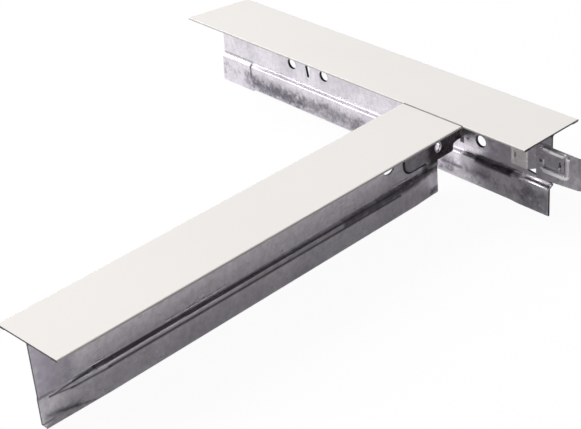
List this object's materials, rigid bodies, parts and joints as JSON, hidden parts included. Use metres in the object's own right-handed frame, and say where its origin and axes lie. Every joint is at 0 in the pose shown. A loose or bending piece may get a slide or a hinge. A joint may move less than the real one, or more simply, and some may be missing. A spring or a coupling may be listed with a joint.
{
  "type": "ceiling grid tee",
  "caption": "Sample of an exposed ceiling grid: a galvanised main tee with a white cap and a cross tee clipped into its side.",
  "frame": {"origin": "the point on the white face where the main tee's centre line meets the cross tee's centre line", "axes": "+Z out of the white face, towards the room; +X along the main tee, towards its splice clip; the cross tee leaves the main tee towards -Y"},
  "size_m": [0.1653, 0.1706, 0.028],
  "materials": {
    "galvanised_strip": "hot-dip galvanised, glossy with soft grey clouds and fine rolling lines",
    "galvanised_clip": "galvanised, dull",
    "white_paint": "factory coil coating, satin off-white"
  },
  "bodies": {
    "root": {"main_tee_web": "galvanised_strip", "main_tee_cap": "white_paint", "main_splice_clip": "galvanised_clip", "cross_tee_web": "galvanised_strip", "cross_tee_cap": "white_paint", "cross_end_clip": "galvanised_clip"}
  },
  "joints": []
}
